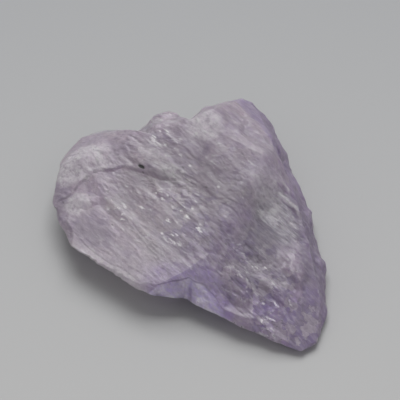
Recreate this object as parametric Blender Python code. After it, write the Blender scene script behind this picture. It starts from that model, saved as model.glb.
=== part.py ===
"""A kunzite crystal: one broken piece of lilac spodumene, lying on its flat underside.

It is a single solid. X runs along the crystal's own long axis towards the pointed tip, and the striations and
cleavage steps run that way too. The thick half has a smooth sloping main face, a rough crest and a frosted lobe.
A curved scarp drops from it to the thin violet tip. The plan outline has a widest edge, the belt, and the sides
lean inwards above and below it, so the front hangs over the ground.

Places and sizes are in millimetres in the tables, and in metres in the mesh.
"""
import bpy
import bmesh
import numpy as np

MM = 0.001

# The ground point under the middle of the crystal, which becomes the origin.
ORIGIN = (-0.2, 3.2)
# The point that the surface is seen from, inside the crystal, and the rough half sizes of the crystal around it.
CORE = (0.0, 0.0, 4.0)
REACH = (22.0, 17.0, 7.0)
FARTHEST = 45.0

# Grid squares along each side of the starting cube, halvings of the search, and triangles kept in the end.
GRID = 110
HALVINGS = 28
TRIANGLES = 9400
# Points lower than this on the plain body are on the flat underside.
GROUND_BAND = 0.02
# The faceted surface is pressed flat below this height.
PRESSED_FLAT = 0.06

# Plan outline: x, y, height of the belt, lean inwards per mm above the belt, and per mm below it.
OUTLINE = (
    (-10.0, -14.1, 4.2, 1.2, 1.6),
    (1.0, -13.5, 3.9, 1.2, 1.6),
    (3.2, -12.5, 3.4, 0.7, 1.5),
    (6.0, -10.1, 2.8, 0.6, 1.4),
    (9.1, -9.5, 2.5, 0.9, 1.4),
    (12.7, -8.7, 2.3, 1.0, 1.5),
    (18.0, -7.1, 1.6, 1.0, 1.4),
    (21.7, -5.6, 0.9, 0.8, 1.0),
    (22.3, -3.2, 0.8, 0.6, 0.8),
    (20.6, 1.0, 0.9, 0.6, 0.5),
    (18.0, 4.3, 1.2, 0.55, 0.5),
    (14.2, 8.0, 1.7, 0.5, 0.5),
    (10.6, 10.9, 2.0, 0.5, 0.5),
    (7.5, 13.8, 2.0, 0.5, 0.35),
    (2.7, 16.2, 2.5, 0.5, 0.5),
    (0.5, 18.0, 3.1, 0.6, 0.6),
    (-4.0, 19.6, 4.8, 0.8, 0.45),
    (-7.8, 20.5, 5.7, 1.0, 0.6),
    (-10.9, 18.9, 6.3, 1.0, 0.7),
    (-11.9, 17.2, 6.6, 1.0, 0.6),
    (-11.5, 14.5, 6.4, 1.0, 0.4),
    (-11.9, 11.4, 6.5, 1.0, 0.25),
    (-15.3, 10.0, 6.4, 1.0, 0.5),
    (-16.1, 8.0, 6.3, 1.0, 0.55),
    (-17.5, 5.1, 4.2, 1.0, 0.3),
    (-22.0, 3.8, 3.5, 1.2, 0.6),
    (-22.8, 1.2, 3.7, 1.2, 0.8),
    (-22.4, -3.4, 5.1, 0.8, 0.7),
    (-19.9, -6.5, 4.5, 0.5, 0.6),
    (-17.5, -10.2, 4.0, 0.5, 0.8),
    (-14.6, -11.9, 3.7, 0.6, 1.2),
    (-11.6, -13.3, 3.8, 0.9, 1.5),
)

# Flat faces over the thick half and over the tip: a point x, y, z on each, and its slopes along x and y.
THICK_FACES = {
    "main face": ((-4.0, -13.5, 4.3), (-0.02, 0.31)),
    "crest": ((-4.0, 6.0, 11.2), (0.0, 0.02)),
    "back slope": ((-9.0, 12.0, 10.3), (0.35, -0.38)),
    "back lobe": ((-4.0, 16.0, 8.6), (-0.05, -0.5)),
    "left end": ((-15.5, -4.0, 8.2), (0.62, 0.05)),
    "left front": ((-13.2, -10.3, 5.7), (0.45, 0.55)),
    "left back": ((-19.5, 0.8, 6.5), (0.75, -0.42)),
}
TIP_FACES = {
    "window": ((10.0, 3.0, 6.3), (-0.26, 0.16)),
    "front facet": ((7.0, -8.0, 3.8), (-0.10, 0.36)),
    "tip": ((19.0, -2.0, 2.6), (-0.42, 0.15)),
    "rim": ((9.0, 9.5, 7.0), (-0.45, -0.50)),
}

# Faces of the underside, rising from the flat it rests on: a point x, y on the edge of the flat, and the slopes.
UNDER_FACES = {
    "under the left end": ((-13.5, 0.0), (-0.34, -0.04)),
    "under the left back": ((-13.0, 8.0), (-0.22, 0.30)),
    "under the back": ((0.0, 11.5), (0.05, 0.30)),
    "under the front": ((-5.0, -6.5), (-0.06, -0.26)),
    "under the tip": ((12.0, 0.0), (0.035, -0.03)),
}

# The scarp's line in plan, with the thick half on its left, and its run-out at the front and at the back. At the
# front it is a flat facet that starts at the line, and at the back a soft slope on both sides of the line.
SCARP = (
    (1.6, -14.5), (3.4, -11.0), (4.6, -8.6), (5.3, -6.2), (6.3, -2.6), (6.2, 0.4),
    (5.4, 3.0), (5.2, 5.6), (5.4, 8.0), (4.0, 11.5), (2.0, 16.4),
)
SCARP_RUN_FRONT = 6.0
SCARP_RUN_BACK = 4.6
SCARP_TURN_Y = -4.0
SCARP_TURN_WIDTH = 6.0

# Ledges: a line in plan, the rise on its left, the run of the riser, and the X where the ledge has died out.
LEDGES = (
    (((-16.4, -10.4), (-15.4, -8.6), (-15.0, -6.6), (-14.7, -4.8), (-13.4, -3.1), (-11.9, -1.7), (-9.5, -1.1),
      (-6.5, -0.4), (-4.6, 0.7)), 0.4, 0.3, -3.0),
    (((-6.0, 2.4), (-3.3, 1.7), (-0.5, 1.1), (2.0, 1.6), (5.0, 3.2)), 0.06, 0.3, 7.0),
    (((-11.6, 2.2), (-10.4, 3.4), (-7.6, 4.2), (-3.0, 4.4), (1.0, 5.6), (5.0, 6.0)), 0.08, 0.4, 7.0),
)
LEDGE_FADE = 4.0

# Raised plates: centre, half length and half width, turn in degrees, rise, and the share taken by the sloping edge.
PLATES = {
    "tongue": ((-8.3, 0.8), (4.2, 1.7), 12.0, 0.45, 0.45),
    "left facet": ((-13.2, -8.4), (2.1, 1.4), 30.0, 0.45, 0.5),
    "knob": ((-14.6, 8.6), (2.6, 2.0), 20.0, 1.0, 0.5),
    "lobe patch": ((-6.8, 10.6), (3.0, 2.2), -35.0, 0.25, 0.5),
    "frosted lobe": ((-18.0, -2.8), (3.4, 3.4), 10.0, 0.55, 0.55),
    "back plate": ((-1.5, 14.0), (3.2, 2.0), -20.0, 0.5, 0.4),
    "lump": ((10.8, -5.2), (2.8, 1.5), -18.0, 0.8, 0.4),
    "tip streak": ((14.6, -2.6), (3.0, 1.1), -4.0, 0.55, 0.5),
    "tip shelf": ((15.0, 1.4), (2.4, 1.4), -30.0, 0.5, 0.5),
    "tip front": ((17.8, -4.6), (2.6, 1.2), -8.0, 0.5, 0.5),
    "rim shelf": ((9.4, 7.9), (2.8, 0.8), 2.0, 0.5, 0.5),
    "rim step": ((7.4, 9.6), (2.2, 0.7), 6.0, 0.5, 0.5),
}

# Calm areas, where the breaks are shallow: centre, half sizes, turn in degrees, share of the edge, and how calm.
CALM = {
    "main face": ((-5.0, -8.2), (12.5, 7.0), 2.0, 0.45, 0.85),
    "window": ((9.6, 3.2), (3.9, 3.9), 0.0, 0.5, 0.7),
    "front facet": ((7.2, -8.6), (4.2, 2.8), 20.0, 0.5, 0.6),
}
ROUGHEST = 1.0
CALMEST = 0.12

# The grain of the crystal, turned a little from X, in degrees.
GRAIN_TURN = -8.0
# Cleavage steps: size of the swell along the grain, across it and upwards, seed, levels, rise of a step, and the
# least share that is left of it in a calm area.
STEPS = (
    ((12.0, 2.4, 5.0), 11, 3.0, 0.08, 0.2),
    ((4.6, 1.2, 2.5), 21, 2.4, 0.06, 0.0),
)
RISER = 0.2
# Broken facets: cell size, seed, tilt, lift and height.
BREAKS = ((4.4, 2.4, 3.0), 31, 1.3, 0.25, 0.12)
# A gentle swell: size, seed and height.
SWELL = ((9.0, 1.3, 3.0), 51, 0.08)
# How the ledges' lines wander and their rise varies: size, seed and amount.
WANDER = ((2.5, 1.2, 3.0), 17, 0.5)
RISE_CHANGE = ((6.0, 3.0, 3.0), 19, 0.5)
# Full relief needs this thickness of crystal, and thinner places keep at least this share.
FULL_RELIEF_THICKNESS = 2.8
THIN_SHARE = 0.08
# Chips are set in fully from this height over the ground.
FULL_CHIP_HEIGHT = 1.6
# How far below the roof the top's relief still moves the sides, and the share of its breaks left further down.
ROOF_FADE = 1.6
SIDE_SHARE = 0.35
# Chips on the sides and the underside: cell size, seed, tilt, lift, depth, and how deep they are set in all.
CHIPS = ((5.2, 3.6, 3.0), 81, 1.1, 0.5, 0.42, 0.10)

LILAC = (0.42, 0.36, 0.45, 1.0)
ROUGHNESS = 0.32
REFRACTIVE_INDEX = 1.67
TRANSMISSION = 0.6


def eased(value, width):
    """Goes from 0 to 1 over the given width around value 0, with soft ends."""
    share = np.clip(value / width + 0.5, 0.0, 1.0)
    return share * share * (3.0 - 2.0 * share)


def outline_at(x, y):
    """The outline's radius, belt height and leans in the direction of each point, along straight edges."""
    corners = np.array(OUTLINE)
    angles = np.arctan2(corners[:, 1], corners[:, 0])
    order = np.argsort(angles)
    corners = np.vstack([corners[order], corners[order][:1]])
    angles = np.append(angles[order], angles[order][0] + 2.0 * np.pi)
    angle = np.arctan2(y, x)
    angle = np.where(angle < angles[0], angle + 2.0 * np.pi, angle)
    edge = np.clip(np.searchsorted(angles, angle, side="right") - 1, 0, len(angles) - 2)
    start = corners[edge, :2]
    run = corners[edge + 1, :2] - start
    crossing = np.cos(angle) * run[:, 1] - np.sin(angle) * run[:, 0]
    radius = (start[:, 0] * run[:, 1] - start[:, 1] * run[:, 0]) / crossing
    share = np.clip((angle - angles[edge]) / (angles[edge + 1] - angles[edge]), 0.0, 1.0)[:, None]
    belt, lean_up, lean_down = (corners[edge, 2:] * (1.0 - share) + corners[edge + 1, 2:] * share).T
    return radius, belt, lean_up, lean_down


def left_of(x, y, line):
    """Distance from a broken line in plan, positive on its left. The first and last stretches run on."""
    line = np.array(line)
    nearest = np.full(x.shape, np.inf)
    side = np.ones(x.shape)
    last = len(line) - 2
    for index in range(last + 1):
        start = line[index]
        run = line[index + 1] - start
        along = ((x - start[0]) * run[0] + (y - start[1]) * run[1]) / (run @ run)
        along = np.clip(along, 0.0 if index > 0 else -np.inf, 1.0 if index < last else np.inf)
        away = np.hypot(x - start[0] - along * run[0], y - start[1] - along * run[1])
        closer = away < nearest
        nearest = np.where(closer, away, nearest)
        side = np.where(closer, np.sign(run[0] * (y - start[1]) - run[1] * (x - start[0])), side)
    return nearest * side


def plate(x, y, centre, half, turn, edge):
    """1 on a long plate with clipped corners, falling to 0 over its sloping edge."""
    angle = np.radians(turn)
    along = ((x - centre[0]) * np.cos(angle) + (y - centre[1]) * np.sin(angle)) / half[0]
    across = ((y - centre[1]) * np.cos(angle) - (x - centre[0]) * np.sin(angle)) / half[1]
    clipped_corner = 0.72 * (abs(along) + abs(across))
    outward = np.maximum(np.maximum(abs(along), abs(across)), clipped_corner)
    return np.clip((1.0 - outward) / edge, 0.0, 1.0)


def lattice_random(i, j, k, seed):
    """A fixed random number from 0 to 1 for each whole-number place, by mixing the bits of its coordinates."""
    bits = (i * 374761393 + j * 668265263 + k * 2147483629 + seed * 1274126177) & 0xFFFFFFFF
    bits = ((bits ^ (bits >> 13)) * 1274126177) & 0xFFFFFFFF
    bits = ((bits ^ (bits >> 15)) * 1103515245) & 0xFFFFFFFF
    return ((bits ^ (bits >> 16)) & 0xFFFFFF) / 0x1000000


def drift(places, size, seed):
    """A smooth random swell from -1 to 1: random values on a lattice of the given size, eased between."""
    scaled = places / np.array(size)
    cell = np.floor(scaled).astype(np.int64)
    share = scaled - cell
    share = share * share * (3.0 - 2.0 * share)
    total = np.zeros(len(places))
    for corner in np.ndindex(2, 2, 2):
        weight = np.prod(np.where(corner, share, 1.0 - share), axis=1)
        total += weight * lattice_random(*(cell + corner).T, seed)
    return 2.0 * total - 1.0


def cleavage_steps(places, size, seed, levels, rise):
    """Long flat treads with steep risers: a swell cut into whole levels."""
    level = levels * drift(places, size, seed)
    whole = np.floor(level)
    return rise * (whole + 0.5 + eased(level - whole - (1.0 - RISER / 2.0), RISER))


def broken_facets(places, size, seed, tilt, lift):
    """Flat facets, one for each cell of a jittered lattice, each tilted its own way and lifted a little."""
    scaled = places / np.array(size)
    cell = np.floor(scaled).astype(np.int64)
    nearest = np.full(len(places), np.inf)
    height = np.zeros(len(places))
    for step in np.ndindex(3, 3, 3):
        near_cell = cell + np.array(step) - 1
        jitter = np.stack([lattice_random(*near_cell.T, seed + axis) for axis in range(3)], axis=1)
        slope = np.stack([lattice_random(*near_cell.T, seed + 4 + axis) for axis in range(3)], axis=1)
        offset = scaled - near_cell - jitter
        away = np.sum(offset * offset, axis=1)
        own = lift * (2.0 * lattice_random(*near_cell.T, seed + 3) - 1.0)
        own += tilt * np.sum((2.0 * slope - 1.0) * offset, axis=1)
        closer = away < nearest
        nearest = np.where(closer, away, nearest)
        height = np.where(closer, own, height)
    return height


def lowest_face(x, y, faces):
    """The height of the lowest of several sloping flat faces."""
    heights = [at[2] + slope[0] * (x - at[0]) + slope[1] * (y - at[1]) for at, slope in faces.values()]
    return np.min(heights, axis=0)


def roof_at(x, y):
    """The top of the plain crystal: the thick half's faces, and past the scarp the lower faces of the tip."""
    thick = lowest_face(x, y, THICK_FACES)
    tip = np.minimum(thick, lowest_face(x, y, TIP_FACES))
    back = eased(y - SCARP_TURN_Y, SCARP_TURN_WIDTH)
    run_out = SCARP_RUN_FRONT + (SCARP_RUN_BACK - SCARP_RUN_FRONT) * back
    beside = left_of(x, y, SCARP)
    facet = np.clip(1.0 + beside / run_out, 0.0, 1.0)
    kept = facet * (1.0 - back) + eased(beside, run_out) * back
    return thick * kept + tip * (1.0 - kept)


def floor_at(x, y):
    """The bottom of the plain crystal: flat in the middle, with faces that rise towards its edges."""
    heights = [slope[0] * (x - at[0]) + slope[1] * (y - at[1]) for at, slope in UNDER_FACES.values()]
    return np.maximum(np.max(heights, axis=0), 0.0)


def outside_by(places):
    """Below 0 inside the plain crystal: under its roof, over its underside and within its leaning sides."""
    x, y, z = places.T
    radius, belt, lean_up, lean_down = outline_at(x, y)
    inset = lean_up * np.maximum(z - belt, 0.0) + lean_down * np.maximum(belt - z, 0.0)
    return np.max([np.hypot(x, y) - radius + inset, z - roof_at(x, y), floor_at(x, y) - z], axis=0)


def along_grain(places):
    """The places seen with the grain as X."""
    angle = np.radians(GRAIN_TURN)
    x, y, z = places.T
    return np.stack([x * np.cos(angle) + y * np.sin(angle), y * np.cos(angle) - x * np.sin(angle), z], axis=1)


def brokenness(x, y):
    """How deeply the surface is broken: 1 in general and little in the calm areas."""
    amount = np.full(x.shape, ROUGHEST)
    for centre, half, turn, edge, calm in CALM.values():
        amount = amount - calm * plate(x, y, centre, half, turn, edge)
    return np.clip(amount, CALMEST, ROUGHEST)


def ledges_and_plates(places, grain):
    """Height of the ledges and raised plates over the plain roof, along wandering lines."""
    x, y, _ = places.T
    wander = WANDER[2] * drift(grain, *WANDER[:2])
    change = 1.0 + RISE_CHANGE[2] * drift(grain, *RISE_CHANGE[:2])
    height = np.zeros(len(places))
    for line, rise, run, end in LEDGES:
        riser = eased(left_of(x, y, line) + wander, run) - 0.5
        height += rise * change * riser * eased(end - LEDGE_FADE / 2.0 - x, LEDGE_FADE)
    for centre, half, turn, rise, edge in PLATES.values():
        height += rise * plate(x, y + wander, centre, half, turn, edge)
    return height


def breaks(places, grain):
    """Height of the cleavage steps, broken facets and swell, shallow in the calm areas."""
    broken = brokenness(places[:, 0], places[:, 1])
    height = SWELL[2] * drift(grain, *SWELL[:2])
    for size, seed, levels, rise, least in STEPS:
        height += (least + (1.0 - least) * broken) * cleavage_steps(grain, size, seed, levels, rise)
    return height + BREAKS[4] * broken * broken_facets(grain, *BREAKS[:4])


def with_relief(places, normals):
    """Lifts the top by its relief, and breaks the sides and the underside along the way they face."""
    x, y, z = places.T
    grain = along_grain(places)
    roof = roof_at(x, y)
    near_roof = np.clip(1.0 - (roof - z) / ROOF_FADE, 0.0, 1.0)
    radius, belt, _, lean_down = outline_at(x, y)
    bottom = np.maximum(belt - (radius - np.hypot(x, y)) / lean_down, floor_at(x, y))
    strength = np.clip((roof - bottom) / FULL_RELIEF_THICKNESS, THIN_SHARE, 1.0)
    broken = strength * breaks(places, grain)
    chips = CHIPS[4] * broken_facets(grain, *CHIPS[:4]) - CHIPS[5]
    chips *= strength * np.clip(z / FULL_CHIP_HEIGHT, 0.0, 1.0)
    moved = places + normals * ((1.0 - near_roof) * (SIDE_SHARE * broken + chips))[:, None]
    moved[:, 2] += near_roof * (strength * ledges_and_plates(places, grain) + broken)
    return moved


def on_plain_surface(cube_points):
    """Sends each point of a cube from -1 to 1 along a ray from the core to the plain crystal's surface."""
    directions = np.tan(cube_points * np.pi / 4.0)
    directions /= np.linalg.norm(directions, axis=1)[:, None]
    directions *= np.array(REACH)
    directions /= np.linalg.norm(directions, axis=1)[:, None]
    inner = np.zeros(len(directions))
    outer = np.full(len(directions), FARTHEST)
    for _ in range(HALVINGS):
        middle = (inner + outer) / 2.0
        inside = outside_by(np.array(CORE) + directions * middle[:, None]) < 0.0
        inner = np.where(inside, middle, inner)
        outer = np.where(inside, outer, middle)
    return np.array(CORE) + directions * inner[:, None]


def mesh_places(mesh):
    """The mesh's vertices in millimetres."""
    flat = np.empty(3 * len(mesh.vertices), dtype=np.float32)
    mesh.vertices.foreach_get("co", flat)
    return flat.reshape(-1, 3).astype(float) / MM


def set_mesh_places(mesh, places):
    """Moves the mesh's vertices to places in millimetres."""
    mesh.vertices.foreach_set("co", (places * MM).astype(np.float32).ravel())
    mesh.update()


def mesh_normals(mesh):
    """The direction that the surface faces at each vertex."""
    flat = np.empty(3 * len(mesh.vertices), dtype=np.float32)
    mesh.vertex_normals.foreach_get("vector", flat)
    return flat.reshape(-1, 3).astype(float)


def cube_of_squares():
    """A closed cube whose sides are grids of squares, as a mesh."""
    shape = bmesh.new()
    bmesh.ops.create_cube(shape, size=2.0 * MM)
    bmesh.ops.subdivide_edges(shape, edges=shape.edges[:], cuts=GRID - 1, use_grid_fill=True)
    mesh = bpy.data.meshes.new("kunzite_crystal")
    shape.to_mesh(mesh)
    shape.free()
    return mesh


def kunzite():
    """Lilac, glassy and a little see-through."""
    material = bpy.data.materials.new("lilac_kunzite")
    material.use_nodes = True
    shader = material.node_tree.nodes["Principled BSDF"]
    shader.inputs["Base Color"].default_value = LILAC
    shader.inputs["Roughness"].default_value = ROUGHNESS
    shader.inputs["Metallic"].default_value = 0.0
    shader.inputs["IOR"].default_value = REFRACTIVE_INDEX
    shader.inputs["Transmission Weight"].default_value = TRANSMISSION
    return material


def kunzite_crystal():
    """Shapes the cube into the crystal, breaks its surface, and keeps it as flat facets."""
    mesh = cube_of_squares()
    places = on_plain_surface(mesh_places(mesh))
    resting = places[:, 2] < GROUND_BAND
    set_mesh_places(mesh, places)
    places = np.where(resting[:, None], places, with_relief(places, mesh_normals(mesh)))
    places[:, 2] = np.where(resting, 0.0, np.maximum(places[:, 2], 0.0))
    places[:, :2] -= ORIGIN
    set_mesh_places(mesh, places)
    crystal = bpy.data.objects.new("kunzite_crystal", mesh)
    bpy.context.collection.objects.link(crystal)
    facets = crystal.modifiers.new("flat facets", "DECIMATE")
    facets.ratio = TRIANGLES / (12.0 * GRID * GRID)
    bpy.context.view_layer.update()
    faceted = bpy.data.meshes.new_from_object(crystal.evaluated_get(bpy.context.evaluated_depsgraph_get()))
    crystal.modifiers.remove(facets)
    crystal.data = faceted
    places = mesh_places(faceted)
    places[:, 2] = np.where(places[:, 2] < PRESSED_FLAT, 0.0, places[:, 2])
    set_mesh_places(faceted, places)
    faceted.materials.clear()
    faceted.materials.append(kunzite())
    bpy.data.meshes.remove(mesh)
    faceted.name = "kunzite_crystal"
    return crystal


for item in list(bpy.data.objects):
    bpy.data.objects.remove(item, do_unlink=True)
kunzite_crystal()
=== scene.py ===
"""The look of one rough kunzite crystal, on a pale floor under soft light.

The crystal's fine surface is worked out as two sheets, the top and the underside, over one plan outline.
Places and sizes in the tables are in millimetres, X along the crystal's long axis, and the mesh is in metres.
"""
import math

import bpy
import numpy as np
from mathutils import Matrix, Vector


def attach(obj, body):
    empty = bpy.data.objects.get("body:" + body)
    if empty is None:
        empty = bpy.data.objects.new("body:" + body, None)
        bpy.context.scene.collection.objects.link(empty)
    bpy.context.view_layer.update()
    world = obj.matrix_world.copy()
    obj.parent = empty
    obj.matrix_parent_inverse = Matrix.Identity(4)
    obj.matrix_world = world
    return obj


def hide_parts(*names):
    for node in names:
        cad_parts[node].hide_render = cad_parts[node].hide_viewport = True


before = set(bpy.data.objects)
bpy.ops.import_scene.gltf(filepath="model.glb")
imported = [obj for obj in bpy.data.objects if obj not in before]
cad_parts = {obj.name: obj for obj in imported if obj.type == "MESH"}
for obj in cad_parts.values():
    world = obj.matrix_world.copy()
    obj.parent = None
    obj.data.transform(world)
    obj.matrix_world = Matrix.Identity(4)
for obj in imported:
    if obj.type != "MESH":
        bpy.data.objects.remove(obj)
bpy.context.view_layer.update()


# The kunzite crystal
# One broken piece of lilac spodumene, grown and broken as one solid, with striations and steps along X.
# The thick half has a smooth main face and a rough crest.
# A curved scarp drops from it to the thin violet tip.
MM = 0.001
# The place in the tables' millimetres, in plan, that is the frame's origin.
ORIGIN = (-0.2, 3.2)

# Grid squares along each side of the two sheets, how much closer together the rings lie towards the rim, and
# how many times the search for the rim is halved.
SQUARES = 220
RIM_CROWDING = 1.2
HALVINGS = 30
# The rim is looked for between this share of the outline's radius and the outline.
INNERMOST_RIM = 0.6

# Plan outline: x, y, height of the belt, lean inwards per mm above the belt, and per mm below it.
OUTLINE = (
    (-10.0, -14.1, 4.2, 1.2, 1.6),
    (1.0, -13.5, 3.9, 1.2, 1.6),
    (3.2, -12.5, 3.4, 0.7, 1.5),
    (6.0, -10.1, 2.8, 0.6, 1.4),
    (9.1, -9.5, 2.5, 0.9, 1.4),
    (12.7, -8.7, 2.3, 1.0, 1.5),
    (18.0, -7.1, 1.6, 1.0, 1.4),
    (21.7, -5.6, 0.9, 0.8, 1.0),
    (22.3, -3.2, 0.8, 0.6, 0.8),
    (20.6, 1.0, 0.9, 0.6, 0.5),
    (18.0, 4.3, 1.2, 0.55, 0.5),
    (14.2, 8.0, 1.7, 0.5, 0.5),
    (10.6, 10.9, 2.0, 0.5, 0.5),
    (7.5, 13.8, 2.0, 0.5, 0.35),
    (2.7, 16.2, 2.5, 0.5, 0.5),
    (0.5, 18.0, 3.1, 0.6, 0.6),
    (-4.0, 19.6, 4.8, 0.8, 0.45),
    (-7.8, 20.5, 5.7, 1.0, 0.6),
    (-10.9, 18.9, 6.3, 1.0, 0.7),
    (-11.9, 17.2, 6.6, 1.0, 0.6),
    (-11.5, 14.5, 6.4, 1.0, 0.4),
    (-11.9, 11.4, 6.5, 1.0, 0.25),
    (-15.3, 10.0, 6.4, 1.0, 0.5),
    (-16.1, 8.0, 6.3, 1.0, 0.55),
    (-17.5, 5.1, 4.2, 1.0, 0.3),
    (-22.0, 3.8, 3.5, 1.2, 0.6),
    (-22.8, 1.2, 3.7, 1.2, 0.8),
    (-22.4, -3.4, 5.1, 0.8, 0.7),
    (-19.9, -6.5, 4.5, 0.5, 0.6),
    (-17.5, -10.2, 4.0, 0.5, 0.8),
    (-14.6, -11.9, 3.7, 0.6, 1.2),
    (-11.6, -13.3, 3.8, 0.9, 1.5),
)

# Flat faces over the thick half and over the tip: a point x, y, z on each, and its slopes along x and y.
THICK_FACES = {
    "main face": ((-4.0, -13.5, 4.3), (-0.02, 0.31)),
    "crest": ((-4.0, 6.0, 11.2), (0.0, 0.02)),
    "back slope": ((-9.0, 12.0, 10.3), (0.35, -0.38)),
    "back lobe": ((-4.0, 16.0, 8.6), (-0.05, -0.5)),
    "left end": ((-15.5, -4.0, 8.2), (0.62, 0.05)),
    "left front": ((-13.2, -10.3, 5.7), (0.45, 0.55)),
    "left back": ((-19.5, 0.8, 6.5), (0.75, -0.42)),
}
TIP_FACES = {
    "window": ((10.0, 3.0, 6.3), (-0.26, 0.16)),
    "front facet": ((7.0, -8.0, 3.8), (-0.10, 0.36)),
    "tip": ((19.0, -2.0, 2.6), (-0.42, 0.15)),
    "rim": ((9.0, 9.5, 7.0), (-0.45, -0.50)),
}

# Faces of the underside, rising from its flat: a point x, y on the edge of the flat, and the slopes.
UNDER_FACES = {
    "under the left end": ((-13.5, 0.0), (-0.34, -0.04)),
    "under the left back": ((-13.0, 8.0), (-0.22, 0.30)),
    "under the back": ((0.0, 11.5), (0.05, 0.30)),
    "under the front": ((-5.0, -6.5), (-0.06, -0.26)),
    "under the tip": ((12.0, 0.0), (0.035, -0.03)),
}

# The scarp's line in plan, with the thick half on its left, and its run-out at the front and at the back.
# At the front it is a flat facet that starts at the line, and at the back a soft slope on both sides of it.
# The one turns into the other around a Y, over a width.
SCARP = (
    (1.6, -14.5), (3.4, -11.0), (4.6, -8.6), (5.3, -6.2), (6.3, -2.6), (6.2, 0.4),
    (5.4, 3.0), (5.2, 5.6), (5.4, 8.0), (4.0, 11.5), (2.0, 16.4),
)
SCARP_RUN_FRONT = 6.0
SCARP_RUN_BACK = 4.6
SCARP_TURN_Y = -4.0
SCARP_TURN_WIDTH = 6.0

# Ledges: a line in plan, the rise on its left, the run of the riser, and the X where the ledge has died out.
# The first is the ledge under the frosted lobe, and the last two are thin strips along the front edge.
LEDGES = (
    (((-16.4, -10.4), (-15.4, -8.6), (-15.0, -6.6), (-14.7, -4.8), (-13.4, -3.1), (-11.9, -1.7),
      (-9.5, -1.1), (-6.5, -0.4), (-4.6, 0.7)), 0.4, 0.3, -3.0),
    (((-6.0, 2.4), (-3.3, 1.7), (-0.5, 1.1), (2.0, 1.6), (5.0, 3.2)), 0.06, 0.3, 7.0),
    (((-11.6, 2.2), (-10.4, 3.4), (-7.6, 4.2), (-3.0, 4.4), (1.0, 5.6), (5.0, 6.0)), 0.08, 0.4, 7.0),
    (((-12.0, -12.0), (-9.0, -13.0), (1.2, -12.6)), 0.10, 0.2, 7.0),
    (((-13.0, -10.9), (-9.0, -12.2), (0.6, -11.8)), 0.05, 0.2, 7.0),
)
# The length over which a ledge dies out.
LEDGE_FADE = 4.0

# Raised plates: centre, half length and half width, turn in degrees, rise, and the share of the sloping edge.
PLATES = {
    "tongue": ((-8.3, 0.8), (4.2, 1.7), 12.0, 0.45, 0.45),
    "left facet": ((-13.2, -8.4), (2.1, 1.4), 30.0, 0.45, 0.5),
    "knob": ((-14.6, 8.6), (2.6, 2.0), 20.0, 1.0, 0.5),
    "lobe patch": ((-6.8, 10.6), (3.0, 2.2), -35.0, 0.25, 0.5),
    "frosted lobe": ((-18.0, -2.8), (3.4, 3.4), 10.0, 0.55, 0.55),
    "back plate": ((-1.5, 14.0), (3.2, 2.0), -20.0, 0.5, 0.4),
    "lump": ((10.8, -5.2), (2.8, 1.5), -18.0, 0.8, 0.4),
    "tip streak": ((14.6, -2.6), (3.0, 1.1), -4.0, 0.55, 0.5),
    "tip shelf": ((15.0, 1.4), (2.4, 1.4), -30.0, 0.5, 0.5),
    "tip front": ((17.8, -4.6), (2.6, 1.2), -8.0, 0.5, 0.5),
    "rim shelf": ((9.4, 7.9), (2.8, 0.8), 2.0, 0.5, 0.5),
    "rim step": ((7.4, 9.6), (2.2, 0.7), 6.0, 0.5, 0.5),
}

# Calm areas, where the breaks are shallow: centre, half sizes, turn in degrees, share of the edge, and calm.
# How broken the surface is goes from the roughest to the calmest.
CALM = {
    "main face": ((-5.0, -8.2), (12.5, 7.0), 2.0, 0.45, 0.85),
    "window": ((9.6, 3.2), (3.9, 3.9), 0.0, 0.5, 0.7),
    "front facet": ((5.6, -9.6), (5.6, 3.4), 20.0, 0.4, 0.85),
    "tip": ((15.0, -1.5), (8.0, 7.0), -20.0, 0.3, 0.35),
}
ROUGHEST = 1.0
CALMEST = 0.12

# The grain of the crystal, turned a little from X, in degrees.
GRAIN_TURN = -8.0
# Cleavage steps: size of the swell along the grain, across it and upwards, seed, levels, rise of a step, and
# the least share that is left of it in a calm area.
STEPS = (
    ((12.0, 2.4, 5.0), 11, 3.0, 0.07, 0.2),
    ((4.6, 1.2, 2.5), 21, 2.4, 0.06, 0.0),
)
FINE_STEPS = (
    ((2.4, 0.7, 1.2), 61, 2.2, 0.035, 0.15),
    ((1.2, 0.4, 0.7), 65, 1.8, 0.025, 0.1),
)
# Where the steps fade out along their length: size and seed.
STEP_FADE = ((3.2, 1.4, 2.2), 23)
# How ragged the steps' edges are: size, seed and amount.
RAGGED = (((1.1, 0.6, 0.8), 27, 0.20), ((0.45, 0.3, 0.35), 28, 0.10))
# The share of a level that its riser takes.
RISER = 0.45
# Broken facets: cell size, seed, tilt, lift and height.
BREAKS = ((4.4, 2.4, 3.0), 31, 1.3, 0.25, 0.10)
FINE_BREAKS = (
    ((1.5, 0.9, 1.1), 71, 1.4, 0.3, 0.04),
    ((0.6, 0.45, 0.5), 75, 1.4, 0.4, 0.018),
)
# How sharp the edges between broken facets are.
SHARPNESS = 12.0
# Where the fine breaks are deeper: centre, half sizes, turn in degrees, share of the edge, and times more.
DEEPER_BREAKS = ((13.6, -3.2), (8.5, 5.2), -18.0, 0.35, 2.2)
# A gentle swell: size, seed and height.
SWELL = ((9.0, 1.3, 3.0), 51, 0.08)
# Striations: size, seed and height.
STRIAE = (((3.0, 0.5, 1.2), 52, 0.02), ((1.6, 0.3, 0.7), 91, 0.012))
# How the ledges' lines wander and their rise varies: size, seed and amount.
WANDER = ((2.5, 1.2, 3.0), 17, 0.5)
RISE_CHANGE = ((6.0, 3.0, 3.0), 19, 0.5)
# Full relief needs this thickness of crystal, and thinner places keep at least this share.
FULL_RELIEF_THICKNESS = 2.8
THIN_SHARE = 0.08
# How ragged the rim is in plan: size, seed and amount.
RAGGED_RIM = (((1.8, 1.8, 1.0), 33, 0.16), ((0.6, 0.6, 1.0), 34, 0.08))
# Chips are set in fully from this height over the ground.
FULL_CHIP_HEIGHT = 1.6
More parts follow.
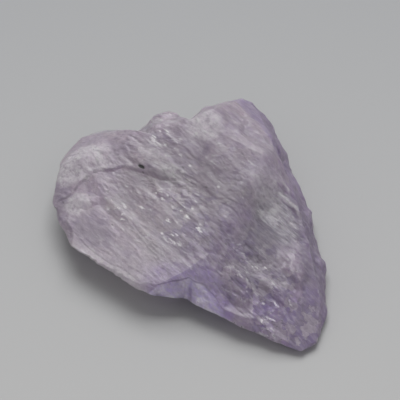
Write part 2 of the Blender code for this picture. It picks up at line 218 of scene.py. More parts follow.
# How far below the roof the top's relief still moves the sides, and the share of its breaks left lower down.
ROOF_FADE = 1.6
SIDE_SHARE = 0.35
# Chips on the sides and the underside: cell size, seed, tilt, lift, depth, and how deep all are set.
CHIPS = ((5.2, 3.6, 3.0), 81, 1.1, 0.5, 0.42, 0.10)


def eased(value, width):
    """Goes from 0 to 1 over the given width around value 0, with soft ends."""
    share = np.clip(value / width + 0.5, 0.0, 1.0)
    return share * share * (3.0 - 2.0 * share)


def outline_at(x, y):
    """The outline's radius, belt height and leans in each point's direction, along slightly ragged edges."""
    corners = np.array(OUTLINE)
    angles = np.arctan2(corners[:, 1], corners[:, 0])
    order = np.argsort(angles)
    corners = np.vstack([corners[order], corners[order][:1]])
    angles = np.append(angles[order], angles[order][0] + 2.0 * np.pi)
    angle = np.arctan2(y, x)
    angle = np.where(angle < angles[0], angle + 2.0 * np.pi, angle)
    edge = np.clip(np.searchsorted(angles, angle, side="right") - 1, 0, len(angles) - 2)
    start = corners[edge, :2]
    run = corners[edge + 1, :2] - start
    crossing = np.cos(angle) * run[:, 1] - np.sin(angle) * run[:, 0]
    radius = (start[:, 0] * run[:, 1] - start[:, 1] * run[:, 0]) / crossing
    rim = np.stack([radius * np.cos(angle), radius * np.sin(angle), np.zeros(len(radius))], axis=1)
    for size, seed, amount in RAGGED_RIM:
        radius = radius + amount * drift(rim, size, seed)
    share = np.clip((angle - angles[edge]) / (angles[edge + 1] - angles[edge]), 0.0, 1.0)[:, None]
    belt, lean_up, lean_down = (corners[edge, 2:] * (1.0 - share) + corners[edge + 1, 2:] * share).T
    return radius, belt, lean_up, lean_down


def left_of(x, y, line):
    """Distance from a broken line in plan, positive on its left. The first and last stretches run on."""
    line = np.array(line)
    nearest = np.full(x.shape, np.inf)
    side = np.ones(x.shape)
    last = len(line) - 2
    for index in range(last + 1):
        start = line[index]
        run = line[index + 1] - start
        along = ((x - start[0]) * run[0] + (y - start[1]) * run[1]) / (run @ run)
        along = np.clip(along, 0.0 if index > 0 else -np.inf, 1.0 if index < last else np.inf)
        away = np.hypot(x - start[0] - along * run[0], y - start[1] - along * run[1])
        closer = away < nearest
        nearest = np.where(closer, away, nearest)
        side = np.where(closer, np.sign(run[0] * (y - start[1]) - run[1] * (x - start[0])), side)
    return nearest * side


def plate(x, y, centre, half, turn, edge):
    """1 on a long plate with clipped corners, falling to 0 over its sloping edge."""
    angle = np.radians(turn)
    along = ((x - centre[0]) * np.cos(angle) + (y - centre[1]) * np.sin(angle)) / half[0]
    across = ((y - centre[1]) * np.cos(angle) - (x - centre[0]) * np.sin(angle)) / half[1]
    clipped_corner = 0.72 * (abs(along) + abs(across))
    outward = np.maximum(np.maximum(abs(along), abs(across)), clipped_corner)
    return np.clip((1.0 - outward) / edge, 0.0, 1.0)


def lattice_random(i, j, k, seed):
    """A fixed random number from 0 to 1 for each whole-number place, mixed from its coordinates' bits."""
    bits = (i * 374761393 + j * 668265263 + k * 2147483629 + seed * 1274126177) & 0xFFFFFFFF
    bits = ((bits ^ (bits >> 13)) * 1274126177) & 0xFFFFFFFF
    bits = ((bits ^ (bits >> 15)) * 1103515245) & 0xFFFFFFFF
    return ((bits ^ (bits >> 16)) & 0xFFFFFF) / 0x1000000


def drift(places, size, seed):
    """A smooth random swell from -1 to 1: random values on a lattice of the given size, eased between."""
    scaled = places / np.array(size)
    cell = np.floor(scaled).astype(np.int64)
    share = scaled - cell
    share = share * share * (3.0 - 2.0 * share)
    total = np.zeros(len(places))
    for corner in np.ndindex(2, 2, 2):
        weight = np.prod(np.where(corner, share, 1.0 - share), axis=1)
        total += weight * lattice_random(*(cell + corner).T, seed)
    return 2.0 * total - 1.0


def cleavage_steps(places, size, seed, levels, rise):
    """Long flat treads with steep risers: a swell cut into whole levels."""
    level = levels * drift(places, size, seed)
    whole = np.floor(level)
    return rise * (whole + 0.5 + eased(level - whole - (1.0 - RISER / 2.0), RISER))


def broken_facets(places, size, seed, tilt, lift):
    """Flat facets with worn edges, one for each cell of a jittered lattice, each tilted and lifted apart."""
    scaled = places / np.array(size)
    cell = np.floor(scaled).astype(np.int64)
    weights = np.zeros(len(places))
    height = np.zeros(len(places))
    for step in np.ndindex(3, 3, 3):
        near_cell = cell + np.array(step) - 1
        jitter = np.stack([lattice_random(*near_cell.T, seed + axis) for axis in range(3)], axis=1)
        slope = np.stack([lattice_random(*near_cell.T, seed + 4 + axis) for axis in range(3)], axis=1)
        offset = scaled - near_cell - jitter
        away = np.sum(offset * offset, axis=1)
        own = lift * (2.0 * lattice_random(*near_cell.T, seed + 3) - 1.0)
        own += tilt * np.sum((2.0 * slope - 1.0) * offset, axis=1)
        weight = np.exp(-SHARPNESS * away)
        weights += weight
        height += weight * own
    return height / weights


def lowest_face(x, y, faces):
    """The height of the lowest of several sloping flat faces."""
    heights = [at[2] + slope[0] * (x - at[0]) + slope[1] * (y - at[1]) for at, slope in faces.values()]
    return np.min(heights, axis=0)


def roof_at(x, y):
    """The plain crystal's top: the thick half's faces, and past the scarp the lower faces of the tip."""
    thick = lowest_face(x, y, THICK_FACES)
    tip = np.minimum(thick, lowest_face(x, y, TIP_FACES))
    back = eased(y - SCARP_TURN_Y, SCARP_TURN_WIDTH)
    run_out = SCARP_RUN_FRONT + (SCARP_RUN_BACK - SCARP_RUN_FRONT) * back
    beside = left_of(x, y, SCARP)
    facet = np.clip(1.0 + beside / run_out, 0.0, 1.0)
    kept = facet * (1.0 - back) + eased(beside, run_out) * back
    return thick * kept + tip * (1.0 - kept)


def floor_at(x, y):
    """The bottom of the plain crystal: flat in the middle, with faces that rise towards its edges."""
    heights = [slope[0] * (x - at[0]) + slope[1] * (y - at[1]) for at, slope in UNDER_FACES.values()]
    return np.maximum(np.max(heights, axis=0), 0.0)


def top_and_bottom(x, y):
    """The plain crystal's top and bottom over each place: its roof and floor, cut by the leaning sides."""
    radius, belt, lean_up, lean_down = outline_at(x, y)
    inside = radius - np.hypot(x, y)
    top = np.minimum(roof_at(x, y), belt + inside / lean_up)
    bottom = np.maximum(floor_at(x, y), belt - inside / lean_down)
    return top, bottom


def plan_of_rings(squares):
    """A square grid of two parameters from -1 to 1, laid over the outline. Each square ring of the grid
    becomes one turn round the crystal, with its angle by the place along the ring, at a share of the rim's
    radius that rises from 0 in the middle to 1 at the rim. The rim is where the top meets the bottom, found
    by halving."""
    steps = np.linspace(-1.0, 1.0, squares + 1)
    first, second = (side.ravel() for side in np.meshgrid(steps, steps, indexing="ij"))
    ring = np.maximum(abs(first), abs(second))
    long_way = abs(first) >= abs(second)
    ratio = np.where(long_way, second, first) / np.where(ring == 0.0, 1.0, np.where(long_way, first, second))
    angle = np.where(long_way, ratio, 2.0 - ratio) * np.pi / 4.0
    angle += np.pi * (np.where(long_way, first, second) < 0.0)
    outer = outline_at(np.cos(angle), np.sin(angle))[0]
    inner = INNERMOST_RIM * outer
    for _ in range(HALVINGS):
        middle = (inner + outer) / 2.0
        top, bottom = top_and_bottom(middle * np.cos(angle), middle * np.sin(angle))
        inner = np.where(top > bottom, middle, inner)
        outer = np.where(top > bottom, outer, middle)
    radius = inner * (1.0 - (1.0 - ring) ** RIM_CROWDING)
    return radius * np.cos(angle), radius * np.sin(angle), ring > 1.0 - 0.5 / squares


def two_sheets(squares):
    """Places and faces of the plain crystal: a top and a bottom sheet on one grid, joined at the rim. Over a
    place x, y of the grid, the top is the lower of the roof and of the side that leans in from the belt, and
    the bottom is the higher of the floor and of the side below the belt."""
    x, y, rim = plan_of_rings(squares)
    top, bottom = top_and_bottom(x, y)
    count = len(x)
    under = np.where(rim, np.arange(count), count + np.cumsum(~rim) - 1)
    places = np.concatenate([np.stack([x, y, top], axis=1), np.stack([x, y, bottom], axis=1)[~rim]])
    index = np.arange(count).reshape(squares + 1, squares + 1)
    quads = np.stack([index[:-1, :-1], index[1:, :-1], index[1:, 1:], index[:-1, 1:]], axis=-1)
    quads = quads.reshape(-1, 4)
    return places, np.concatenate([quads, under[quads[:, ::-1]]])


def along_grain(places):
    """The places seen with the grain as X."""
    angle = np.radians(GRAIN_TURN)
    x, y, z = places.T
    along = x * np.cos(angle) + y * np.sin(angle)
    across = y * np.cos(angle) - x * np.sin(angle)
    return np.stack([along, across, z], axis=1)


def brokenness(x, y):
    """How deeply the surface is broken: 1 in general and little in the calm areas."""
    amount = np.full(x.shape, ROUGHEST)
    for centre, half, turn, edge, calm in CALM.values():
        amount = amount - calm * plate(x, y, centre, half, turn, edge)
    return np.clip(amount, CALMEST, ROUGHEST)


def ledges_and_plates(places, grain):
    """Height of the ledges and raised plates over the plain roof, along wandering lines."""
    x, y, _ = places.T
    wander = WANDER[2] * drift(grain, *WANDER[:2])
    change = 1.0 + RISE_CHANGE[2] * drift(grain, *RISE_CHANGE[:2])
    height = np.zeros(len(places))
    for line, rise, run, end in LEDGES:
        riser = eased(left_of(x, y, line) + wander, run) - 0.5
        height += rise * change * riser * eased(end - LEDGE_FADE / 2.0 - x, LEDGE_FADE)
    for centre, half, turn, rise, edge in PLATES.values():
        height += rise * plate(x, y + wander, centre, half, turn, edge)
    return height


def steps_and_facets(places, grain, steps, facets):
    """Height of some cleavage steps and broken facets: shallow in calm areas, the steps fading in and out."""
    broken = brokenness(places[:, 0], places[:, 1])
    fade = np.clip(0.6 + 1.2 * drift(grain, *STEP_FADE), 0.0, 1.0)
    ragged = grain.copy()
    for size, seed, amount in RAGGED:
        ragged[:, 1] += amount * drift(grain, size, seed)
    height = np.zeros(len(places))
    for size, seed, levels, rise, least in steps:
        height += fade * (least + (1.0 - least) * broken) * cleavage_steps(ragged, size, seed, levels, rise)
    for size, seed, tilt, lift, amount in facets:
        height += amount * broken * broken_facets(grain, size, seed, tilt, lift)
    return height


def with_relief(places, normals):
    """Lifts the top by its relief, and breaks the sides and the underside along the way they face."""
    x, y, z = places.T
    grain = along_grain(places)
    roof = roof_at(x, y)
    near_roof = np.clip(1.0 - (roof - z) / ROOF_FADE, 0.0, 1.0)
    radius, belt, _, lean_down = outline_at(x, y)
    bottom = np.maximum(belt - (radius - np.hypot(x, y)) / lean_down, floor_at(x, y))
    strength = np.clip((roof - bottom) / FULL_RELIEF_THICKNESS, THIN_SHARE, 1.0)
    broken = steps_and_facets(places, grain, STEPS, (BREAKS,)) + SWELL[2] * drift(grain, *SWELL[:2])
    broken = strength * broken
    deeper = 1.0 + DEEPER_BREAKS[4] * plate(x, y, *DEEPER_BREAKS[:4])
    fine = strength * deeper * steps_and_facets(places, grain, FINE_STEPS, FINE_BREAKS)
    for size, seed, amount in STRIAE:
        fine += strength * amount * drift(grain, size, seed)
    chips = CHIPS[4] * broken_facets(grain, *CHIPS[:4]) - CHIPS[5]
    chips *= strength * np.clip(z / FULL_CHIP_HEIGHT, 0.0, 1.0)
    moved = places + normals * ((1.0 - near_roof) * (SIDE_SHARE * broken + chips) + fine)[:, None]
    moved[:, 2] += near_roof * (strength * ledges_and_plates(places, grain) + broken)
    return moved


def ellipse(x, y, centre, half, turn, soft):
    """1 inside an ellipse in plan and 0 outside, over a soft share of its size."""
    angle = np.radians(turn)
    along = ((x - centre[0]) * np.cos(angle) + (y - centre[1]) * np.sin(angle)) / half[0]
    across = ((y - centre[1]) * np.cos(angle) - (x - centre[0]) * np.sin(angle)) / half[1]
    return eased(1.0 - np.hypot(along, across), soft)


# Colour areas in plan: centre, half sizes, turn in degrees, share of the soft edge, and strength. Dark areas
# are partly darker crystal and partly painted shade, and blocky areas have small facets of different colours.
VIOLET_AREAS = (
    ((6.6, -9.8), (6.2, 3.2), 18.0, 0.4, 1.0),
    ((6.2, -5.5), (2.4, 5.0), -6.0, 0.9, 0.6),
    ((6.4, 0.4), (2.2, 4.0), 8.0, 0.8, 0.6),
    ((4.8, 7.6), (2.6, 2.2), 10.0, 0.8, 0.5),
    ((17.6, -4.2), (7.0, 3.8), -12.0, 0.9, 1.0),
    ((3.0, -5.0), (2.4, 6.0), -12.0, 1.0, 0.3),
)
# The dark violet band along the right edge: its line, its width and its soft edge.
RIGHT_BAND = ((2.6, 16.1), (7.6, 13.9), (10.6, 10.9), (14.2, 8.0), (18.2, 4.4), (20.7, 1.1), (22.3, -3.2))
RIGHT_BAND_WIDTH = 3.4
RIGHT_BAND_EDGE = 0.6
# The first frosted area is the lobe, which is frosted above its ledge alone.
FROST_AREAS = (
    ((-17.3, -4.2), (3.8, 3.0), 62.0, 0.35, 1.0),
    ((-6.5, 8.4), (2.3, 2.3), 0.0, 0.8, 1.0),
    ((-5.6, 1.0), (1.9, 0.9), 10.0, 0.9, 1.0),
    ((-9.6, 1.2), (2.4, 1.0), 10.0, 0.9, 0.7),
    ((-10.4, 3.0), (1.6, 0.7), 10.0, 1.0, 0.6),
    ((-13.6, -8.8), (1.9, 1.2), 30.0, 0.7, 1.0),
    ((-12.6, 6.8), (2.6, 0.8), 10.0, 1.0, 0.6),
    ((14.2, -2.1), (1.6, 0.4), 0.0, 0.8, 0.6),
    ((-3.0, -12.9), (6.0, 0.4), 1.0, 0.8, 0.5),
    ((-3.4, -10.0), (6.0, 2.4), 6.0, 1.0, 0.25),
    ((1.5, 11.5), (2.0, 1.6), 6.0, 1.0, 0.2),
    ((5.6, -10.2), (4.6, 2.2), 24.0, 0.8, 0.25),
    ((-1.3, -12.2), (3.8, 1.6), 5.0, 1.0, 0.6),
    ((5.6, 8.4), (0.9, 0.22), -10.0, 0.8, 0.8),
    ((6.9, 9.1), (1.0, 0.22), -10.0, 0.8, 0.8),
    ((8.9, 7.7), (1.9, 0.28), -10.0, 0.8, 0.8),
    ((7.2, 6.2), (1.3, 0.6), -10.0, 0.8, 0.5),
    ((4.8, 7.2), (2.4, 2.0), 0.0, 1.0, 0.6),
    ((-6.0, -11.0), (6.0, 2.0), 4.0, 1.0, 0.2),
)
WINDOW_AREAS = (
    ((8.6, 5.4), (3.8, 3.2), -40.0, 0.5, 1.0),
    ((9.6, 0.8), (3.0, 2.6), -40.0, 0.9, 0.35),
    ((12.0, -1.6), (3.4, 2.2), -30.0, 1.0, 0.35),
    ((-17.6, 4.2), (5.4, 1.6), 22.0, 0.8, 0.8),
)
DARK_AND_SHADED_AREAS = (
    ((9.3, 0.9), (3.2, 2.0), -50.0, 0.9, 1.0),
    ((-9.4, -2.8), (3.0, 1.2), 20.0, 1.0, 0.25),
    ((2.0, -1.0), (3.8, 5.4), 0.0, 1.0, 0.25),
    ((-16.5, -9.8), (1.9, 4.4), 38.0, 0.8, 0.75),
    ((10.8, -3.7), (3.0, 2.0), -10.0, 1.0, 0.65),
    ((19.9, 1.0), (2.8, 1.8), -70.0, 0.9, 0.9),
    ((-3.5, 7.5), (9.5, 6.5), 8.0, 1.0, 0.42),
    ((-10.0, 3.2), (3.0, 1.8), 10.0, 0.9, 0.6),
    ((1.8, 2.6), (3.6, 2.4), 10.0, 1.0, 0.6),
    ((14.6, -1.6), (2.6, 1.8), -20.0, 1.0, 0.4),
    ((-14.2, -1.2), (2.2, 1.7), 0.0, 1.0, 0.33),
    ((-9.6, -11.0), (3.8, 2.2), 5.0, 0.9, 0.6),
)
SPARKLE_AREAS = (
    ((-1.5, -3.2), (5.6, 3.4), 4.0, 0.8, 1.0),
    ((-7.0, -6.0), (6.0, 3.0), 4.0, 0.8, 0.5),
    ((-9.8, 4.2), (2.2, 1.4), 10.0, 0.8, 1.0),
    ((-2.0, 3.0), (6.0, 1.4), 8.0, 0.8, 0.7),
    ((13.6, -4.2), (6.0, 3.4), -14.0, 0.8, 0.7),
    ((-17.0, -4.0), (5.2, 2.5), 62.0, 0.6, 0.4),
)
BLOCKY_AREAS = (
    ((17.6, -4.0), (6.4, 4.2), -18.0, 0.7, 1.0),
    ((13.0, -3.0), (6.4, 4.2), -18.0, 0.7, 0.45),
    ((1.0, -2.5), (5.0, 4.0), -10.0, 0.9, 0.4),
)
# The bright violet facet past the front of the scarp: centre, half sizes, turn, and share of the soft edge.
# Its gentle part is lit by a share of what the steep side under it is, and keeps a share of the frost.
# The steep side is told by how far below the roof it lies, over a soft edge.
FACET = ((5.2, -10.2), (7.0, 4.1), 18.0, 0.35)
FACET_ROOF_SHARE = 0.1
FACET_FROST = 0.2
STEEP_FROM = 0.06
STEEP_EDGE = 0.16
# Soft edges of the colours past the scarp, and at crisp lines, and how far below its ledge's line the lobe
# is frosted.
BEYOND_EDGE = 1.2
CRISP_EDGE = 0.3
LEDGE_FROST_BELOW = 0.2
# How violet all is past the scarp, and how much of the dark grey and painted shade the right band takes.
BEYOND_VIOLET = 0.42
BAND_DARK_AND_SHADE = 0.7
# How the edges of the colour areas wander: size, seed and amount, along x, along y, and for the right band.
WANDER_X = (((4.0, 2.0, 3.0), 201, 0.5), ((1.4, 0.6, 1.0), 202, 0.4))
WANDER_Y = (((4.0, 2.0, 3.0), 203, 0.5), ((1.4, 0.6, 1.0), 204, 0.3))
BAND_WANDER = (((2.0, 1.0, 1.5), 205, 0.3),)
# The one black speck: its place, half sizes and turn in degrees.
FLECK_PLACE = (-9.7, -0.7)
FLECK_HALF = (0.60, 0.22)
FLECK_TURN = 5.0


def strongest(x, y, areas):
    """The strongest of several colour areas at each place."""
    masks = [strength * ellipse(x, y, *area) for *area, strength in areas]
    return np.max(masks, axis=0)


def wandering(values, grain, swells):
    """The values, moved by some smooth random swells."""
    for size, seed, amount in swells:
        values = values + amount * drift(grain, size, seed)
    return values


def colour_fields(places):
    """How violet, frosted, clear, darkened (partly by painted shade), sparkling, blocky or lit each place is,
    from 0 to 1.
    """
    grain = along_grain(places)
    plain_x, plain_y, z = places.T
    x = wandering(plain_x, grain, WANDER_X)
    y = wandering(plain_y, grain, WANDER_Y)
    beyond = eased(-left_of(x, y, SCARP), BEYOND_EDGE)
    inward = wandering(abs(left_of(plain_x, plain_y, RIGHT_BAND)), grain, BAND_WANDER)
    band = eased(RIGHT_BAND_WIDTH - inward, RIGHT_BAND_EDGE)
    facet = ellipse(plain_x, plain_y, *FACET) * eased(-left_of(plain_x, plain_y, SCARP), CRISP_EDGE)
    violet = np.max([BEYOND_VIOLET * beyond, strongest(x, y, VIOLET_AREAS), band, facet], axis=0)
    above_ledge = eased(left_of(plain_x, plain_y, LEDGES[0][0]) + LEDGE_FROST_BELOW, CRISP_EDGE)
    low_frost = strongest(x, y, FROST_AREAS[1:])
    frost = np.maximum(low_frost, above_ledge * strongest(x, y, FROST_AREAS[:1]))
    under_roof = roof_at(plain_x, plain_y) - z
    steep = FACET_ROOF_SHARE + (1.0 - FACET_ROOF_SHARE) * eased(under_roof - STEEP_FROM, STEEP_EDGE)
    return {
        "violet": violet,
        "frost": frost * (1.0 - (1.0 - FACET_FROST) * facet),
        "window": strongest(x, y, WINDOW_AREAS),
        # The dark areas and the right band: partly darker crystal, partly painted shade.
        "dark_and_shade": np.maximum(strongest(x, y, DARK_AND_SHADED_AREAS), BAND_DARK_AND_SHADE * band),
        "sparkle": strongest(x, y, SPARKLE_AREAS),
        "blocky": strongest(x, y, BLOCKY_AREAS),
        "lit": steep * facet,
    }


# How the crystal takes light: its index of refraction, how clear and how milky it is, how far light spreads
# in the milky skin and how its colours share that, and the colour and density of the inside.
KUNZITE_IOR = 1.67
CLEARNESS = 0.52
MILKINESS = 0.7
MILKY_COLOURS = (1.0, 0.85, 1.0)
MILKY_DEPTH = 0.0025
INSIDE_COLOUR = (0.76, 0.62, 0.86, 1.0)
INSIDE_DENSITY = 30.0
BUMP_STRENGTH = 0.6
BUMP_HEIGHT = 0.00012
# Ways that the small facets lean: in the dark areas with painted shade, in the lit areas, and on the glinting
# flakes.
AWAY_FROM_LIGHT = (0.45, -0.45, 0.77)
TOWARDS_LIGHT = (-0.3, 0.3, 0.9)
LEVEL = (0.0, 0.0, 1.0)

# Colours of the body, its tints and its zones.
LILAC = (0.66, 0.55, 0.63)
PALE_LILAC = (0.71, 0.60, 0.68)
WARM_GREY = (0.68, 0.64, 0.66)
VIOLET_TINT = (0.58, 0.47, 0.70)
PINK_TINT = (0.78, 0.65, 0.70)
GREY_TINT = (0.62, 0.60, 0.64)
VIOLET = (0.57, 0.41, 0.80)
FACET_VIOLET = (0.51, 0.38, 0.82)
WINDOW_GROOVE = (0.34, 0.33, 0.38)
WINDOW_RIDGE = (0.94, 0.91, 0.96)
# Dark grey of the dark areas: partly the crystal's own, partly painted shade.
DARK_AND_SHADE_GREY = (0.26, 0.22, 0.32)
LILAC_SHADE = (0.38, 0.31, 0.40)
VIOLET_BLOCK = (0.33, 0.24, 0.52)
PALE_BLOCK = (0.82, 0.74, 0.82)
BLOCK_SHADE = (0.34, 0.30, 0.38)
FROST_WHITE = (1.0, 0.96, 0.99)
GRIT_SHADE = (0.36, 0.29, 0.38)
STREAK_WHITE = (1.0, 0.94, 1.0)
CREASE_SHADE = (0.26, 0.21, 0.28)
# White of the flakes: partly painted glints.
FLAKE_AND_GLINT_WHITE = (1.0, 0.99, 0.98)
PIT_SHADE = (0.20, 0.16, 0.20)
FLECK_BLACK = (0.01, 0.01, 0.01)

# Patterns of smooth noise: patches per metre along the grain, across and upwards, detail, roughness, shift.
CLOUD = ((170.0, 300.0, 250.0), 4.0, 0.6, 3.0)
HUE = ((110.0, 170.0, 150.0), 3.0, 0.5, 21.0)
MOTTLE = ((700.0, 1200.0, 1000.0), 3.0, 0.65, 5.0)
STREAK = ((400.0, 2400.0, 1500.0), 3.0, 0.6, 7.0)
GRIT = ((1700.0, 3000.0, 2500.0), 2.0, 0.6, 11.0)
CLUSTER = ((300.0, 500.0, 400.0), 2.0, 0.5, 51.0)
GROOVE = ((250.0, 2300.0, 1500.0), 2.0, 0.5, 61.0)
SHARD = ((800.0, 2800.0, 2200.0), 2.0, 0.6, 37.0)
# Patterns of round spots: cells per metre, shift, size in a cell, and the share of the cells that have one.
DOTS = ((1000.0, 1500.0, 1300.0), 31.0, 0.30, 0.12)
PITS = ((900.0, 1500.0, 1200.0), 43.0, 0.24, 0.10)
# Patterns of broken facets: cells per metre, shift, and how uneven their edges are.
LARGE_FACETS = ((420.0, 700.0, 600.0), 71.0, 0.8)
MIDDLE_FACETS = ((800.0, 950.0, 900.0), 83.0, 1.5)
SMALL_FACETS = ((1300.0, 2100.0, 1800.0), 77.0, 0.7)


def kunzite():
    """Glassy lilac crystal with a frosty skin: violet towards the tip, white where it is frosted, grey in the
    clear window, with fine striations along the grain and small bright cleavage flakes, whose white is partly
    painted glints. Dark grey is partly the crystal's own and partly painted shade. Each layer of colour is
    laid over those before it, by a share that follows a pattern or a colour field between two values."""
    material = bpy.data.materials.new("kunzite")
    material.use_nodes = True
    nodes = material.node_tree.nodes
    links = material.node_tree.links
    shader = nodes["Principled BSDF"]
    shader.inputs["IOR"].default_value = KUNZITE_IOR
    shader.inputs["Transmission Weight"].default_value = CLEARNESS
    shader.inputs["Subsurface Weight"].default_value = MILKINESS
    shader.inputs["Subsurface Radius"].default_value = MILKY_COLOURS
    shader.inputs["Subsurface Scale"].default_value = MILKY_DEPTH
    shader.inputs["Metallic"].default_value = 0.0
    coordinates = nodes.new("ShaderNodeTexCoord")

    def field(name):
        """One of the mesh's colour fields."""
        node = nodes.new("ShaderNodeAttribute")
        node.attribute_name = name
        return node.outputs["Fac"]

    def grain_place(scale, shift):
        """Places on the grain's own axes, scaled to so many units per metre along, across and up."""
        place = nodes.new("ShaderNodeMapping")
        place.inputs["Rotation"].default_value = (0.0, 0.0, -math.radians(GRAIN_TURN))
        place.inputs["Scale"].default_value = scale
        place.inputs["Location"].default_value = (shift, shift * 0.37, shift * 0.71)
        links.new(coordinates.outputs["Object"], place.inputs["Vector"])
        return place.outputs["Vector"]

    def noise(scale, detail, roughness, shift):
        """Smooth noise on the grain's own axes."""
        node = nodes.new("ShaderNodeTexNoise")
        node.inputs["Scale"].default_value = 1.0
        node.inputs["Detail"].default_value = detail
        node.inputs["Roughness"].default_value = roughness
        links.new(grain_place(scale, shift), node.inputs["Vector"])
        return node.outputs["Fac"]

    def ranged(value, low, high, to_low, to_high):
        """A value taken from one range to another, and held at its ends."""
        node = nodes.new("ShaderNodeMapRange")
        links.new(value, node.inputs["Value"])
        for name, number in zip(("From Min", "From Max", "To Min", "To Max"), (low, high, to_low, to_high)):
            node.inputs[name].default_value = number
        return node.outputs["Result"]

    def maths(operation, first, second):
        """One sum on two values or numbers."""
        node = nodes.new("ShaderNodeMath")
        node.operation = operation
        for socket, value in zip(node.inputs, (first, second)):
            if isinstance(value, float):
                socket.default_value = value
            else:
                links.new(value, socket)
        return node.outputs["Value"]

    def spots(scale, shift, size, kept):
        """Small round spots, one in some of the cells of a jittered lattice: 1 on a spot and 0 off it."""
        node = nodes.new("ShaderNodeTexVoronoi")
        node.inputs["Scale"].default_value = 1.0
        links.new(grain_place(scale, shift), node.inputs["Vector"])
        chosen = nodes.new("ShaderNodeSeparateColor")
        links.new(node.outputs["Color"], chosen.inputs["Color"])
        on_spot = ranged(node.outputs["Distance"], size * 0.5, size, 1.0, 0.0)
        is_kept = ranged(chosen.outputs["Red"], 1.0 - kept, 1.0 - kept + 0.05, 0.0, 1.0)
        return maths("MULTIPLY", on_spot, is_kept)

    def facets(scale, shift, wobble):
        """Broken facets with uneven edges: each one's random shade and tint, and how far its edge is."""
        bend = nodes.new("ShaderNodeTexNoise")
        bend.inputs["Scale"].default_value = 1.3
        bend.inputs["Detail"].default_value = 2.0
        bent = nodes.new("ShaderNodeVectorMath")
        bent.operation = "MULTIPLY_ADD"
        bent.inputs[1].default_value = (wobble, wobble, wobble)
        links.new(grain_place(scale, shift), bend.inputs["Vector"])
        links.new(bend.outputs["Color"], bent.inputs[0])
        links.new(grain_place(scale, shift), bent.inputs[2])
        cells = nodes.new("ShaderNodeTexVoronoi")
        edges = nodes.new("ShaderNodeTexVoronoi")
        edges.feature = "DISTANCE_TO_EDGE"
        for node in (cells, edges):
            node.inputs["Scale"].default_value = 1.0
            links.new(bent.outputs["Vector"], node.inputs["Vector"])
        chosen = nodes.new("ShaderNodeSeparateColor")
        links.new(cells.outputs["Color"], chosen.inputs["Color"])
        return chosen.outputs["Red"], chosen.outputs["Green"], edges.outputs["Distance"]

    def fleck():
        """1 on the one small black speck, and 0 off it."""
        place = nodes.new("ShaderNodeMapping")
        place.vector_type = "TEXTURE"
        middle = [(at - origin) * MM for at, origin in zip(FLECK_PLACE, ORIGIN)]
        place.inputs["Location"].default_value = (*middle, 0.0)
        place.inputs["Rotation"].default_value = (0.0, 0.0, math.radians(FLECK_TURN))
        place.inputs["Scale"].default_value = (FLECK_HALF[0] * MM, FLECK_HALF[1] * MM, 1.0)
        away = nodes.new("ShaderNodeVectorMath")
        away.operation = "LENGTH"
        links.new(coordinates.outputs["Object"], place.inputs["Vector"])
        links.new(place.outputs["Vector"], away.inputs[0])
        return ranged(away.outputs["Value"], 0.7, 1.1, 1.0, 0.0)

    def mixed(share, first, second):
        """A mix of two colours by a share from 0 to 1."""
        node = nodes.new("ShaderNodeMix")
        node.data_type = "RGBA"
        links.new(share, node.inputs["Factor"])
        for name, colour in (("A", first), ("B", second)):
            socket = [entry for entry in node.inputs if entry.name == name and entry.type == "RGBA"][0]
            if isinstance(colour, tuple):
                socket.default_value = (*colour, 1.0)
            else:
                links.new(colour, socket)
        return [entry for entry in node.outputs if entry.type == "RGBA"][0]

    def leant(share, normal, towards):
        """A normal leant by a share from 0 to 1 towards a fixed way."""
        lean = nodes.new("ShaderNodeMix")
        lean.data_type = "VECTOR"
        ends = [entry for entry in lean.inputs if entry.type == "VECTOR" and entry.name in ("A", "B")]
        links.new(share, lean.inputs["Factor"])
        links.new(normal, ends[0])
        ends[1].default_value = towards
        unit = nodes.new("ShaderNodeVectorMath")
        unit.operation = "NORMALIZE"
        links.new([entry for entry in lean.outputs if entry.type == "VECTOR"][0], unit.inputs[0])
        return unit.outputs["Vector"]

    cloud = noise(*CLOUD)
    hue = noise(*HUE)
    mottle = noise(*MOTTLE)
    streak = noise(*STREAK)
    grit = noise(*GRIT)
    cluster = noise(*CLUSTER)
    groove = ranged(noise(*GROOVE), 0.38, 0.62, 0.0, 1.0)
    dots = spots(*DOTS)
    shards = ranged(noise(*SHARD), 0.58, 0.63, 0.0, 1.0)
    pits = spots(*PITS)
    large_shade, large_tint, _ = facets(*LARGE_FACETS)
    middle_shade, middle_tint, middle_edge = facets(*MIDDLE_FACETS)
    small_shade, small_tint, _ = facets(*SMALL_FACETS)
    blocky = ranged(field("blocky"), 0.0, 1.0, 0.2, 1.0)

    base = mixed(ranged(cloud, 0.38, 0.62, 0.0, 1.0), LILAC, PALE_LILAC)
    base = mixed(ranged(hue, 0.52, 0.68, 0.0, 0.35), base, WARM_GREY)
    base = mixed(ranged(large_tint, 0.55, 1.0, 0.0, 0.20), base, VIOLET_TINT)
    base = mixed(ranged(large_tint, 0.0, 0.45, 0.25, 0.0), base, PINK_TINT)
    base = mixed(ranged(small_tint, 0.4, 1.0, 0.0, 0.20), base, GREY_TINT)
    violet_share = maths("MULTIPLY", field("violet"), ranged(hue, 0.35, 0.6, 1.0, 0.65))
    base = mixed(violet_share, base, VIOLET)
    facet_share = ranged(field("lit"), 0.0, 0.1, 0.0, 0.5)
    facet_share = maths("ADD", facet_share, ranged(field("lit"), 0.1, 1.0, 0.0, 0.5))
    base = mixed(facet_share, base, FACET_VIOLET)
    window = maths("MULTIPLY", field("window"), ranged(hue, 0.3, 0.6, 0.8, 1.0))
    base = mixed(window, base, mixed(groove, WINDOW_GROOVE, WINDOW_RIDGE))
